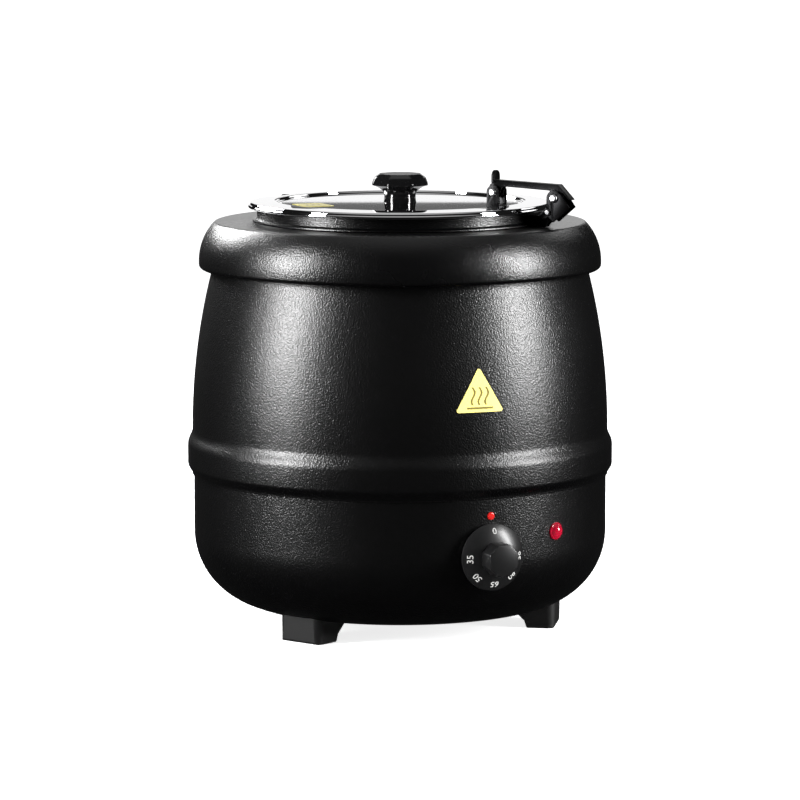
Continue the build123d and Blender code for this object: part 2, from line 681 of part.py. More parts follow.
def bottom_cover():
    disc = upright(COVER_R, BASE_Z - SHEET, BASE_Z)
    for azimuth in COVER_SCREWS:
        disc -= to_azimuth(upright(2.2, 0, 30, COVER_SCREW_R), azimuth)
    for row in (-2, -1, 0, 1, 2):
        slot = extrude(SlotOverall(36, 5), amount=20)
        disc -= Pos(0, row * 14, BASE_Z - 10) * slot
    return disc


def cover_screws():
    screws = []
    for azimuth in COVER_SCREWS:
        low = BASE_Z - SHEET
        head = fillet(upright(3.6, low - 2.2, low, COVER_SCREW_R).edges().sort_by(Axis.Z)[:1], 1.2)
        screws.append(to_azimuth(head + upright(1.9, low, BASE_Z + 7, COVER_SCREW_R), azimuth))
    return screws


def foot(body):
    """Moulded foot: nearly upright outer face, flared inner face and round corners, seated on the shell."""
    inner = FOOT_R - 23
    top = BASE_Z + 8
    side = outline((inner - 10.5, top), (inner - 10.5, BASE_Z - 2), (inner - 2, 6), (inner, 0),
                   (FOOT_R - 0.8, 0), (FOOT_R, top))
    side = fillet(side.vertices().sort_by(Axis.Y)[:2], 2.0)
    block = plate(side, -FOOT_WIDTH / 2, FOOT_WIDTH / 2)
    corners = extrude(RectangleRounded(48, FOOT_WIDTH, 7), amount=top)
    block &= Pos(FOOT_R - 24, 0, 0) * corners
    block -= upright(5.4, -1, 8, FOOT_SCREW_R)
    block -= upright(2.7, -1, 30, FOOT_SCREW_R)
    return block - body


def foot_screw():
    head = fillet(upright(4.6, 4.8, 8, FOOT_SCREW_R).edges().sort_by(Axis.Z)[:1], 1.6)
    return head + upright(2.5, 8, 25, FOOT_SCREW_R)


def foot_nut():
    seat = 19.6
    return Pos(FOOT_SCREW_R, 0, 0) * hexagon(8, seat, seat + 4, 2.5)


def build():
    lower_solid = turn(lower_section())

    write(lower_shell(lower_solid), "lower_shell")
    write(upper_shell(), "upper_shell")
    write(top_collar(), "top_collar")
    write(water_well(), "water_well")
    write(soup_pot(), "soup_pot")

    write(lid_ring(), "lid_ring")
    write(lid(), "lid")
    write(lid_knob(), "lid_knob")
    write(knob_insert(), "knob_insert")
    write(lid_knob_screw(), "lid_knob_screw")
    write(lid_knob_washer(), "lid_knob_washer")

    write(lid_bracket(), "lid_bracket")
    write(lid_bracket_rivet(), "lid_bracket_rivet")
    write(hinge_arm(), "hinge_arm")
    write(hinge_link(), "hinge_link")
    write(hinge_bracket(), "hinge_bracket")
    write(hinge_bracket_rivet(), "hinge_bracket_rivet")
    write(hinge_pin(PIN_A, PIN_A_R, 3.0, 1.8, LID_EAR_OUT), "lid_pin")
    write(hinge_pin(PIN_B, PIN_B_R, 3.4, 2.0), "arm_pin")
    write(hinge_pin(PIN_C, PIN_C_R, 2.4, 1.4), "link_pin")

    write(control_knob(), "control_knob")
    write(thermostat_shaft(), "thermostat_shaft")
    write(thermostat_body(), "thermostat_body")
    group("thermostat_screws", *thermostat_screws())
    write(index_dot(lower_solid), "index_dot")
    write(lamp_lens(), "lamp_lens")
    write(lamp_housing(), "lamp_housing")
    write(caution_label(), "caution_label")
    write(lid_label(), "lid_label")

    write(heating_element(), "heating_element")
    write(heater_clamp_plate(), "heater_clamp_plate")
    write(heater_stud(), "heater_stud")
    write(heater_nut(), "heater_nut")
    write(heater_washer(), "heater_washer")
    write(thermal_cutout(), "thermal_cutout")
    write(capillary_tube(), "capillary_tube")
    group("bulb_clips", *bulb_clips())
    write(terminal_block(), "terminal_block")
    write(earth_stud(), "earth_stud")
    group("wiring", *wiring())
    write(cord_gland(), "cord_gland")
    write(gland_nut(), "gland_nut")

    write(bottom_cover(), "bottom_cover")
    group("cover_screws", *cover_screws())
    feet = [to_azimuth(foot(lower_solid), azimuth) for azimuth in FOOT_AZIMUTHS]
    for number, piece in enumerate(feet, start=1):
        write(piece, f"foot_{number}")
    group("foot_screws", *[to_azimuth(foot_screw(), azimuth) for azimuth in FOOT_AZIMUTHS])
    group("foot_nuts", *[to_azimuth(foot_nut(), azimuth) for azimuth in FOOT_AZIMUTHS])


build()
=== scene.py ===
from math import asin, cos, pi, radians, sin, sqrt

import bpy
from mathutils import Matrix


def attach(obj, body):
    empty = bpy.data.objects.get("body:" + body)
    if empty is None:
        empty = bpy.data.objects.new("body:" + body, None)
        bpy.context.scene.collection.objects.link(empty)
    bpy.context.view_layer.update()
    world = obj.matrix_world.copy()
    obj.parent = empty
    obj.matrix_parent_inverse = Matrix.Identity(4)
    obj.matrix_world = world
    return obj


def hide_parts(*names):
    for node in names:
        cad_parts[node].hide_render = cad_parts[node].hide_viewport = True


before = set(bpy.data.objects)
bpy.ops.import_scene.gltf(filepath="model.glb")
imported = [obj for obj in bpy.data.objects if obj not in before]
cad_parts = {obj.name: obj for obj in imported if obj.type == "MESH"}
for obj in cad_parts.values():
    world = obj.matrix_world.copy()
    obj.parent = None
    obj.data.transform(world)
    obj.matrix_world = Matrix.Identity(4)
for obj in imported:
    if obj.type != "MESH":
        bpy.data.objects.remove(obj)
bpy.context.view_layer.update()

# Camera: a long lens at counter height, seeing the kettle from 25 degrees left of its front.
MM = 0.001
VIEW_AZIMUTH = radians(-25)
VIEW_DISTANCE = 3.34
VIEW_HEIGHT = 0.6093
VIEW_PITCH = radians(7.34)
SENSOR = 36.0
FOCAL = 189.0

bpy.ops.object.select_all(action="DESELECT")
bpy.ops.object.camera_add(
    location=(VIEW_DISTANCE * sin(VIEW_AZIMUTH), -VIEW_DISTANCE * cos(VIEW_AZIMUTH), VIEW_HEIGHT),
    rotation=(pi / 2 - VIEW_PITCH, 0, VIEW_AZIMUTH),
)
camera = bpy.context.object
camera.data.sensor_width = SENSOR
camera.data.lens = FOCAL
bpy.context.scene.camera = camera


# Floor: one wide pale sheet, plain and matt.
def plain_material(name, colour, roughness, glow=0.0):
    material = bpy.data.materials.new(name)
    material.use_nodes = True
    shader = material.node_tree.nodes["Principled BSDF"]
    shader.inputs["Base Color"].default_value = (*colour, 1)
    shader.inputs["Roughness"].default_value = roughness
    shader.inputs["Emission Color"].default_value = (1, 1, 1, 1)
    shader.inputs["Emission Strength"].default_value = glow
    return material


bpy.ops.mesh.primitive_plane_add(size=60, location=(0, 0, 0))
floor = bpy.context.object
floor.name = "studio_floor"
floor.data.materials.append(plain_material("studio_floor_paint", (0.95, 0.95, 0.95), 0.9, 0.8))
floor.visible_glossy = False


# Light: tall soft boxes left and right of the camera, a broad one high behind, and a white surround.
# Polished and painted faces see a dim room, and the lid sees a white card standing behind the kettle.
def soft_box(name, azimuth, distance, height, size, radiance, aim=0.2):
    """A rectangular area light turned towards the kettle's axis."""
    x = distance * sin(radians(azimuth))
    y = -distance * cos(radians(azimuth))
    tilt = pi / 2 - asin((height - aim) / sqrt(distance ** 2 + (height - aim) ** 2))
    bpy.ops.object.light_add(type="AREA", location=(x, y, height), rotation=(tilt, 0, radians(azimuth)))
    lamp = bpy.context.object
    lamp.name = name
    lamp.data.shape = "RECTANGLE"
    lamp.data.size = size[0]
    lamp.data.size_y = size[1]
    lamp.data.energy = radiance * pi * size[0] * size[1]
    return lamp


soft_box("left_box", -90, 1.5, 0.66, (0.28, 0.88), 60)
soft_box("right_box", 46.5, 1.6, 0.66, (0.27, 0.88), 58)
soft_box("rear_left_box", -162, 1.7, 1.19, (0.95, 0.7), 22)
soft_box("rear_right_box", 110, 2.0, 1.6, (1.0, 0.6), 2.5)


def card(name, distance, width, low, high, brightness):
    """A card behind the kettle that only polished faces see."""
    a = VIEW_AZIMUTH + pi
    bpy.ops.mesh.primitive_plane_add(
        size=1, location=(distance * sin(a), -distance * cos(a), (low + high) / 2), rotation=(pi / 2, 0, a))
    bpy.context.object.scale = (width, high - low, 1)
    bpy.ops.object.transform_apply(location=True, rotation=True, scale=True)
    piece = bpy.context.object
    piece.name = name
    piece.data.materials.append(plain_material(name, (0, 0, 0), 1.0, brightness))
    piece.visible_camera = False
    piece.visible_diffuse = False
    piece.visible_shadow = False


card("white_card", 1.5, 0.8, 0.3, 1.4, 1.0)
card("grey_card", 1.45, 0.27, 0.456, 0.56, 0.12)

world = bpy.data.worlds.new("studio_surround")
bpy.context.scene.world = world
world.use_nodes = True
sky = world.node_tree
for node in list(sky.nodes):
    sky.nodes.remove(node)
path = sky.nodes.new("ShaderNodeLightPath")
seen = sky.nodes.new("ShaderNodeMath")
seen.operation = "MULTIPLY_ADD"
seen.inputs[1].default_value = 0.8
seen.inputs[2].default_value = 0.3
mirrored = sky.nodes.new("ShaderNodeMath")
mirrored.operation = "MULTIPLY_ADD"
mirrored.inputs[1].default_value = -0.29
heading = sky.nodes.new("ShaderNodeTexCoord")
upward = sky.nodes.new("ShaderNodeSeparateXYZ")
ceiling = sky.nodes.new("ShaderNodeMapRange")
ceiling.interpolation_type = "SMOOTHSTEP"
ceiling.inputs["From Min"].default_value = 0.72
ceiling.inputs["From Max"].default_value = 0.97
ceiling.inputs["To Max"].default_value = 0.5
overhead = sky.nodes.new("ShaderNodeMath")
overhead.operation = "ADD"
surround = sky.nodes.new("ShaderNodeBackground")
surround.inputs["Color"].default_value = (1, 1, 1, 1)
out = sky.nodes.new("ShaderNodeOutputWorld")
sky.links.new(path.outputs["Is Camera Ray"], seen.inputs[0])
sky.links.new(path.outputs["Is Glossy Ray"], mirrored.inputs[0])
sky.links.new(seen.outputs["Value"], mirrored.inputs[2])
sky.links.new(heading.outputs["Generated"], upward.inputs["Vector"])
sky.links.new(upward.outputs["Z"], ceiling.inputs["Value"])
sky.links.new(mirrored.outputs["Value"], overhead.inputs[0])
sky.links.new(ceiling.outputs["Result"], overhead.inputs[1])
sky.links.new(overhead.outputs["Value"], surround.inputs["Strength"])
sky.links.new(surround.outputs["Background"], out.inputs["Surface"])
bpy.context.scene.view_settings.view_transform = "Standard"


# Lower shell: pressed steel pan with a large round corner, open below for the bottom cover.
# It is turned from one profile, given its sheet thickness and bored for the controls.
def arc(centre, radius, start, end, steps):
    """Points of a round stretch, angles in degrees from the outward direction."""
    turn = [radians(start + (end - start) * i / steps) for i in range(steps + 1)]
    return [(centre[0] + radius * cos(a), centre[1] + radius * sin(a)) for a in turn]


def turned(name, profile, steps=192):
    """A vertex drawn out along a profile in millimetres, then spun about the upright axis."""
    bpy.ops.object.select_all(action="DESELECT")
    bpy.ops.mesh.primitive_plane_add(size=0.01)
    piece = bpy.context.object
    piece.name = name
    bpy.ops.object.mode_set(mode="EDIT")
    bpy.ops.mesh.select_mode(type="VERT")
    bpy.ops.mesh.merge(type="CENTER")
    bpy.ops.transform.translate(value=(profile[0][0] * MM, 0, profile[0][1] * MM))
    for near, far in zip(profile, profile[1:]):
        step = ((far[0] - near[0]) * MM, 0, (far[1] - near[1]) * MM)
        bpy.ops.mesh.extrude_region_move(TRANSFORM_OT_translate={"value": step})
    bpy.ops.mesh.select_all(action="SELECT")
    bpy.ops.mesh.spin(steps=steps, angle=2 * pi, center=(0, 0, 0), axis=(0, 0, 1))
    bpy.ops.mesh.select_all(action="SELECT")
    bpy.ops.mesh.remove_doubles(threshold=1e-6)
    bpy.ops.mesh.normals_make_consistent(inside=False)
    bpy.ops.object.mode_set(mode="OBJECT")
    return piece


def apply_all(piece):
    bpy.ops.object.select_all(action="DESELECT")
    piece.select_set(True)
    bpy.context.view_layer.objects.active = piece
    for modifier in list(piece.modifiers):
        bpy.ops.object.modifier_apply(modifier=modifier.name)


def give_wall(piece, thickness):
    """Sheet thickness, laid to the inside of the surface."""
    wall = piece.modifiers.new("sheet", "SOLIDIFY")
    wall.thickness = thickness * MM
    wall.offset = -1
    apply_all(piece)


def smooth(piece, angle=35):
    bpy.ops.object.select_all(action="DESELECT")
    piece.select_set(True)
    bpy.context.view_layer.objects.active = piece
    bpy.ops.object.shade_smooth_by_angle(angle=radians(angle))


def cut(piece, cutter):
    """Take the cutter's shape out of a piece and drop the cutter."""
    bore = piece.modifiers.new("bore", "BOOLEAN")
    bore.operation = "DIFFERENCE"
    bore.solver = "MANIFOLD"
    bore.object = cutter
    apply_all(piece)
    bpy.data.objects.remove(cutter)


def bar_outward(azimuth, radius, near, far, height, sides=48):
    """A round bar pointing away from the axis at an azimuth, in millimetres."""
    a = radians(azimuth)
    middle = (near + far) / 2 * MM
    bpy.ops.object.select_all(action="DESELECT")
    bpy.ops.mesh.primitive_cylinder_add(
        vertices=sides, radius=radius * MM, depth=(far - near) * MM,
        location=(middle * sin(a), -middle * cos(a), height * MM), rotation=(pi / 2, 0, a))
    bpy.ops.object.transform_apply(location=True, rotation=True, scale=True)
    return bpy.context.object


def finish_piece(piece, body, slot, material, *nodes):
    piece.data.materials.clear()
    piece.data.materials.append(material)
    if nodes:
        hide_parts(*nodes)
    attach(piece, body)


def add_socket(group, name, kind, way, value=None):
    socket = group.interface.new_socket(name=name, in_out=way, socket_type=kind)
    if value is not None:
        socket.default_value = value


def grain_group():
    """Fine raised grain of a cured coat or a moulded skin, with a soft wander in its gloss."""
    group = bpy.data.node_groups.new("fine_grain", "ShaderNodeTree")
    add_socket(group, "Grains per metre", "NodeSocketFloat", "INPUT", 1100.0)
    add_socket(group, "Gloss wander", "NodeSocketFloat", "INPUT", 0.05)
    add_socket(group, "Roughness", "NodeSocketFloat", "INPUT", 0.4)
    add_socket(group, "Height", "NodeSocketFloat", "OUTPUT")
    add_socket(group, "Roughness", "NodeSocketFloat", "OUTPUT")
    nodes, links = group.nodes, group.links
    entry = nodes.new("NodeGroupInput")
    leave = nodes.new("NodeGroupOutput")
    place = nodes.new("ShaderNodeTexCoord")
    fine = nodes.new("ShaderNodeTexNoise")
    fine.inputs["Detail"].default_value = 1.0
    broad = nodes.new("ShaderNodeTexNoise")
    broad.inputs["Scale"].default_value = 9.0
    broad.inputs["Detail"].default_value = 3.0
    centred = nodes.new("ShaderNodeMath")
    centred.operation = "SUBTRACT"
    centred.inputs[1].default_value = 0.5
    sway = nodes.new("ShaderNodeMath")
    sway.operation = "MULTIPLY_ADD"
    for texture in (fine, broad):
        links.new(place.outputs["Object"], texture.inputs["Vector"])
    links.new(entry.outputs["Grains per metre"], fine.inputs["Scale"])
    links.new(fine.outputs["Fac"], leave.inputs["Height"])
    links.new(broad.outputs["Fac"], centred.inputs[0])
    links.new(centred.outputs["Value"], sway.inputs[0])
    links.new(entry.outputs["Gloss wander"], sway.inputs[1])
    links.new(entry.outputs["Roughness"], sway.inputs[2])
    links.new(sway.outputs["Value"], leave.inputs["Roughness"])
    return group


FINE_GRAIN = grain_group()


def grained(name, colour, roughness, grains, depth, wander=0.1, metallic=0.0):
    """A coated, moulded or drawn surface: plain colour, fine grain and a slightly uneven gloss."""
    material = bpy.data.materials.new(name)
    material.use_nodes = True
    tree = material.node_tree
    shader = tree.nodes["Principled BSDF"]
    shader.inputs["Base Color"].default_value = (*colour, 1)
    shader.inputs["Metallic"].default_value = metallic
    grain = tree.nodes.new("ShaderNodeGroup")
    grain.node_tree = FINE_GRAIN
    grain.inputs["Grains per metre"].default_value = grains
    grain.inputs["Gloss wander"].default_value = wander
    grain.inputs["Roughness"].default_value = roughness
    bump = tree.nodes.new("ShaderNodeBump")
    bump.inputs["Strength"].default_value = 1.0
    bump.inputs["Distance"].default_value = depth * MM
    tree.links.new(grain.outputs["Height"], bump.inputs["Height"])
    tree.links.new(grain.outputs["Roughness"], shader.inputs["Roughness"])
    tree.links.new(bump.outputs["Normal"], shader.inputs["Normal"])
    return material


powder_coat = grained("black_powder_coat", (0.0006, 0.0006, 0.0007), 0.3, 820, 0.3)

BASE_BOTTOM = 16.0
BASE_RADIUS = 165.2
BASE_CORNER = 60.0
SHEET = 1.2
DIAL_HEIGHT = 77.0
LAMP_AZIMUTH = 22.0
LAMP_HEIGHT = 91.0
GLAND_HEIGHT = 84.0

corner = (BASE_RADIUS - BASE_CORNER, BASE_BOTTOM + BASE_CORNER)
lower_shell = turned("lower_shell_pan", [
    (86.0, BASE_BOTTOM), *arc(corner, BASE_CORNER, 270, 360, 28), (BASE_RADIUS, 110.0), (BASE_RADIUS, 148.5),
])
give_wall(lower_shell, SHEET)
cut(lower_shell, bar_outward(0, 7.5, 150, 180, DIAL_HEIGHT))
cut(lower_shell, bar_outward(LAMP_AZIMUTH, 5.1, 150, 180, LAMP_HEIGHT))
cut(lower_shell, bar_outward(180, 8.2, 150, 180, GLAND_HEIGHT))
smooth(lower_shell)
finish_piece(lower_shell, "base", "painted_steel", powder_coat, "lower_shell")


# Upper shell: rolled steel barrel that narrows upwards, with a swaged bead above the seam.
# The bead's two flanks swing smoothly, and its lower edge turns in to grip the pan.
def s_bend(start, end, steps=6):
    """A smooth swing between two points, upright at both ends."""
    across = end[0] - start[0]
    along = end[1] - start[1]
    points = []
    for i in range(2 * steps + 1):
        part = i / (2 * steps)
        points.append((start[0] + across * (1 - cos(pi * part)) / 2, start[1] + along * part))
    return points


BARREL_RADIUS = 166.3
BARREL_LOW = 158.0
BARREL_ARC = 505.0
BARREL_TOP = 321.0
BEAD_RADIUS = 170.1


def barrel_radius(height):
    return BARREL_RADIUS - BARREL_ARC + sqrt(BARREL_ARC ** 2 - (height - BARREL_LOW) ** 2)


barrel_heights = [BARREL_LOW + (BARREL_TOP - BARREL_LOW) * i / 40 for i in range(1, 41)]
upper_shell = turned("upper_shell_barrel", [
    (166.0, 121.6), *s_bend((166.5, 122.0), (BEAD_RADIUS, 130.5)),
    *s_bend((BEAD_RADIUS, 145.5), (BARREL_RADIUS, BARREL_LOW)),
    *[(barrel_radius(height), height) for height in barrel_heights],
])
give_wall(upper_shell, SHEET)
smooth(upper_shell)
finish_piece(upper_shell, "base", "painted_steel", powder_coat, "upper_shell")


# Top collar: deep-drawn steel shoulder over the barrel, flat on top and curled in below.
# It carries the pot's rim at its inner edge and is coated a little glossier than the barrel.
collar_coat = grained("collar_powder_coat", (0.0006, 0.0006, 0.0007), 0.28, 820, 0.27)

COLLAR_TOP = 323.5
COLLAR_RADIUS = 160.5
SHOULDER_ARC = 44.9
SHOULDER_EDGE = 4.5
SHOULDER_LOW = 292.0
COLLAR_LOW = 286.0
CURL = 3.5

shoulder = (COLLAR_RADIUS - SHOULDER_ARC, SHOULDER_LOW)
shoulder_turn = asin((COLLAR_TOP - SHOULDER_EDGE - SHOULDER_LOW) / (SHOULDER_ARC - SHOULDER_EDGE))
edge = (shoulder[0] + (SHOULDER_ARC - SHOULDER_EDGE) * cos(shoulder_turn), COLLAR_TOP - SHOULDER_EDGE)
shoulder_degrees = shoulder_turn * 180 / pi
collar = turned("top_collar_shoulder", [
    (150.6, COLLAR_LOW), *arc((COLLAR_RADIUS - CURL, COLLAR_LOW + CURL), CURL, 270, 360, 8),
    *arc(shoulder, SHOULDER_ARC, 0, shoulder_degrees, 20), *arc(edge, SHOULDER_EDGE, shoulder_degrees, 90, 8),
    (edge[0] - 0.6, COLLAR_TOP), (130.0, COLLAR_TOP), (108.7, COLLAR_TOP),
])
give_wall(collar, 1.45)
smooth(collar)
finish_piece(collar, "base", "painted_steel", collar_coat, "top_collar")


# Lid ring: the black riser that holds the hinge and the lid, standing on the collar.
# It is a turned channel with a foot flange, a small lip inside and a slot for the ladle.
ring_coat = grained("ring_powder_coat", (0.0006, 0.0006, 0.0007), 0.25, 820, 0.25)

HINGE_AZIMUTH = 36.0
RING_RADIUS = 114.0
RING_LOW = 323.8
RING_TOP = 338.4
RING_SHEET = 1.4

inner = RING_RADIUS - RING_SHEET
ring = turned("lid_ring_channel", [
    (inner, RING_LOW), (117.0, RING_LOW), (117.5, RING_LOW + 0.5), (117.3, RING_LOW + 1.3),
    (115.2, RING_LOW + 1.6), (RING_RADIUS, RING_LOW + 2.8), (RING_RADIUS, RING_TOP - 0.8),
    (RING_RADIUS - 0.8, RING_TOP), (110.4, RING_TOP), (110.0, RING_TOP - 0.7), (110.4, RING_TOP - RING_SHEET),
    (inner, RING_TOP - RING_SHEET), (inner, RING_LOW),
])
notch = radians(HINGE_AZIMUTH + 180)
bpy.ops.object.select_all(action="DESELECT")
bpy.ops.mesh.primitive_cube_add(
    size=1, location=(0.112 * sin(notch), -0.112 * cos(notch), RING_TOP * MM),
    rotation=(0, 0, notch), scale=(0.024, 0.012, 0.015))
bpy.ops.object.transform_apply(location=True, rotation=True, scale=True)
cut(ring, bpy.context.object)
smooth(ring)
finish_piece(ring, "ring", "painted_steel", ring_coat, "lid_ring")


# Lid: one polished stainless pressing with a sunk middle and a rim rolled down over the ring.
# Its outer band falls slightly outwards, and the ladle slot is cut opposite the hinge.
def polished(name, colour, roughness, rings=0.0):
    """Bright metal with faint marks turned round its axis."""
    material = bpy.data.materials.new(name)
    material.use_nodes = True
    tree = material.node_tree
    shader = tree.nodes["Principled BSDF"]
    shader.inputs["Metallic"].default_value = 1.0
    place = tree.nodes.new("ShaderNodeTexCoord")
    smears = tree.nodes.new("ShaderNodeTexNoise")
    smears.inputs["Scale"].default_value = 14.0
    smears.inputs["Detail"].default_value = 4.0
    gloss = tree.nodes.new("ShaderNodeMapRange")
    gloss.inputs["To Min"].default_value = roughness * 0.7
    gloss.inputs["To Max"].default_value = roughness * 1.3
    tint = tree.nodes.new("ShaderNodeMix")
    tint.data_type = "RGBA"
    tint.inputs["A"].default_value = (*colour, 1)
    tint.inputs["B"].default_value = (*[c * 0.92 for c in colour], 1)
    tree.links.new(place.outputs["Object"], smears.inputs["Vector"])
    tree.links.new(smears.outputs["Fac"], gloss.inputs["Value"])
    tree.links.new(smears.outputs["Fac"], tint.inputs["Factor"])
    tree.links.new(gloss.outputs["Result"], shader.inputs["Roughness"])
    tree.links.new(tint.outputs["Result"], shader.inputs["Base Color"])
    if rings:
        stretch = tree.nodes.new("ShaderNodeMapping")
        stretch.inputs["Scale"].default_value = (2.0, 2.0, 900.0)
        marks = tree.nodes.new("ShaderNodeTexNoise")
        marks.inputs["Scale"].default_value = 1.0
        bump = tree.nodes.new("ShaderNodeBump")
        bump.inputs["Distance"].default_value = rings * MM
        tree.links.new(place.outputs["Object"], stretch.inputs["Vector"])
        tree.links.new(stretch.outputs["Vector"], marks.inputs["Vector"])
        tree.links.new(marks.outputs["Fac"], bump.inputs["Height"])
        tree.links.new(bump.outputs["Normal"], shader.inputs["Normal"])
    return material


mirror_steel = polished("mirror_stainless", (0.86, 0.86, 0.87), 0.018)

LID_RADIUS = 121.0
PANEL_RADIUS = 98.0
PANEL_HEIGHT = 338.0
LID_TOP = 339.8
SLOT_WIDTH = 28.0
SLOT_INNER = 108.0

hem = (LID_RADIUS - 1.3, 335.5)
lid = turned("lid_pressing", [
    *[(radius, PANEL_HEIGHT) for radius in (0.0, 30.0, 60.0, PANEL_RADIUS - 2.0, PANEL_RADIUS - 1.0)],
    *s_bend((PANEL_RADIUS, PANEL_HEIGHT + 0.1), (PANEL_RADIUS + 0.9, LID_TOP - 0.15), 3),
    (PANEL_RADIUS + 1.6, LID_TOP), (PANEL_RADIUS + 2.4, LID_TOP - 0.03), (109.0, LID_TOP - 0.36),
    (116.2, LID_TOP - 0.68), (116.8, LID_TOP - 0.72),
    *arc((117.3, LID_TOP - 2.9), 2.1, 80, 0, 6), (119.45, LID_TOP - 3.0), (119.7, LID_TOP - 3.1),
    *arc(hem, 1.3, 60, -150, 9), (118.5, 336.4),
], steps=256)
give_wall(lid, 0.75)
bpy.ops.object.select_all(action="DESELECT")
reach = 20.0
slot_middle = (SLOT_INNER + reach / 2) * MM
bpy.ops.mesh.primitive_cube_add(
    size=1, location=(slot_middle * sin(notch), -slot_middle * cos(notch), 0.336),
    rotation=(0, 0, notch), scale=(SLOT_WIDTH * MM, reach * MM, 0.02))
slot_cutter = bpy.context.object
bpy.ops.object.transform_apply(location=True, rotation=True, scale=True)
corners = slot_cutter.modifiers.new("corners", "BEVEL")
corners.width = 6 * MM
corners.segments = 6
corners.limit_method = "ANGLE"
apply_all(slot_cutter)
cut(lid, slot_cutter)
smooth(lid)
finish_piece(lid, "lid", "mirror_steel", mirror_steel, "lid")


# Lid knob: moulded black thermoset, eight-sided at its crown and round at its stem.
# An eight-sided bar is drawn up ring by ring, and subdivision rounds the stem under it.
bakelite = grained("black_bakelite", (0.004, 0.004, 0.0042), 0.09, 90, 0.012, 0.04)

KNOB_LEVELS = (
    (14.6, 338.0, 1.0), (14.3, 338.8, 0.0), (13.6, 343.0, 0.0), (14.4, 346.6, 0.0), (19.0, 349.8, 0.1),
    (24.0, 352.0, 0.55), (24.0, 353.6, 0.55), (21.8, 358.4, 0.45), (17.5, 361.0, 0.7),
)
bpy.ops.object.select_all(action="DESELECT")
bpy.ops.mesh.primitive_circle_add(vertices=8, radius=KNOB_LEVELS[0][0] * MM, fill_type="NGON",
                                  location=(0, 0, KNOB_LEVELS[0][1] * MM), rotation=(0, 0, radians(22.5 - 25)))
knob = bpy.context.object
knob.name = "lid_knob_crown"
bpy.ops.object.transform_apply(location=True, rotation=True, scale=True)
bpy.ops.object.mode_set(mode="EDIT")
bpy.ops.mesh.select_mode(type="FACE")
bpy.ops.mesh.select_all(action="SELECT")
for near, far in zip(KNOB_LEVELS, KNOB_LEVELS[1:]):
    bpy.ops.mesh.extrude_region_move(TRANSFORM_OT_translate={"value": (0, 0, (far[1] - near[1]) * MM)})
    ratio = far[0] / near[0]
    bpy.ops.transform.resize(value=(ratio, ratio, 1), center_override=(0, 0, far[1] * MM))
bpy.ops.mesh.inset(thickness=2.5 * MM)
bpy.ops.mesh.select_all(action="SELECT")
bpy.ops.mesh.normals_make_consistent(inside=False)
bpy.ops.object.mode_set(mode="OBJECT")
crease = knob.data.attributes.new("crease_edge", "FLOAT", "EDGE")
for line in knob.data.edges:
    ends = [knob.data.vertices[i].co for i in line.vertices]
    level = min(KNOB_LEVELS, key=lambda k: abs(k[1] * MM - ends[0].z))
    flat = abs(ends[0].z - ends[1].z) < 1e-5
    crown = min(end.z for end in ends) > 351.5 * MM
    crease.data[line.index].value = level[2] if flat else (0.5 if crown else 0.0)
rounding = knob.modifiers.new("rounding", "SUBSURF")
rounding.levels = 4
rounding.render_levels = 4
apply_all(knob)
smooth(knob, 60)
finish_piece(knob, "lid", "bakelite", bakelite, "lid_knob")


# Hinge: four pressed pieces of dark plated steel, with bright riveted pins.
# Each is its pressed shape with the sharp edges broken, as tumbling leaves them.
def edges_broken(node, name, width, segments=2):
    """A merged copy of a pressed piece with its edges rounded over."""
    bpy.ops.object.select_all(action="DESELECT")
    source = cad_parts[node]
    piece = source.copy()
    piece.data = source.data.copy()
    piece.name = name
    piece.parent = None
    for key in list(piece.keys()):
        del piece[key]
    bpy.context.collection.objects.link(piece)
    piece.select_set(True)
    bpy.context.view_layer.objects.active = piece
    bpy.ops.object.mode_set(mode="EDIT")
    bpy.ops.mesh.select_all(action="SELECT")
    bpy.ops.mesh.remove_doubles(threshold=2e-6)
    bpy.ops.mesh.dissolve_limited(angle_limit=radians(3))
    bpy.ops.object.mode_set(mode="OBJECT")
    bevel = piece.modifiers.new("edges", "BEVEL")
    bevel.width = width * MM
    bevel.segments = segments
    bevel.limit_method = "ANGLE"
    bevel.angle_limit = radians(40)
    apply_all(piece)
    smooth(piece, 30)
    return piece


dark_nickel = polished("dark_nickel_plate", (0.009, 0.009, 0.0094), 0.36)
bright_plate = polished("bright_plate", (0.5, 0.5, 0.51), 0.3)
ear_plate = polished("ear_plate", (0.012, 0.012, 0.0124), 0.38)

arm = edges_broken("hinge_arm", "hinge_arm_channel", 0.3)
finish_piece(arm, "arm", "hinge_steel", dark_nickel, "hinge_arm")
link = edges_broken("hinge_link", "hinge_link_cheeks", 0.3)
finish_piece(link, "link", "hinge_steel", dark_nickel, "hinge_link")
bracket = edges_broken("hinge_bracket", "hinge_ring_bracket", 0.25)
finish_piece(bracket, "ring", "hinge_steel", dark_nickel, "hinge_bracket")
ears = edges_broken("lid_bracket", "lid_bracket_ears", 0.3)
finish_piece(ears, "lid", "rivet_steel", ear_plate, "lid_bracket")


# Dial: moulded plastic cone with an upright rim and an eight-sided grip that stands forward.
dial_plastic = grained("dial_plastic", (0.005, 0.005, 0.0052), 0.33, 1500, 0.02)

DIAL_BACK = 166.8
DIAL_RADIUS = 26.0
RIM_HEIGHT = 2.2
CONE_HEIGHT = 8.5
CONE_RADIUS = 14.0
DIAL_DEPTH = 22.5
GRIP_FLATS = 24.5


def face_front(piece, depth):
    """Lay a piece built along +Z so that it points to the front, at the dial's centre."""
    piece.rotation_euler = (pi / 2, 0, 0)
    piece.location = (0, -depth * MM, DIAL_HEIGHT * MM)
    bpy.ops.object.select_all(action="DESELECT")
    piece.select_set(True)
    bpy.context.view_layer.objects.active = piece
    bpy.ops.object.transform_apply(location=True, rotation=True, scale=True)


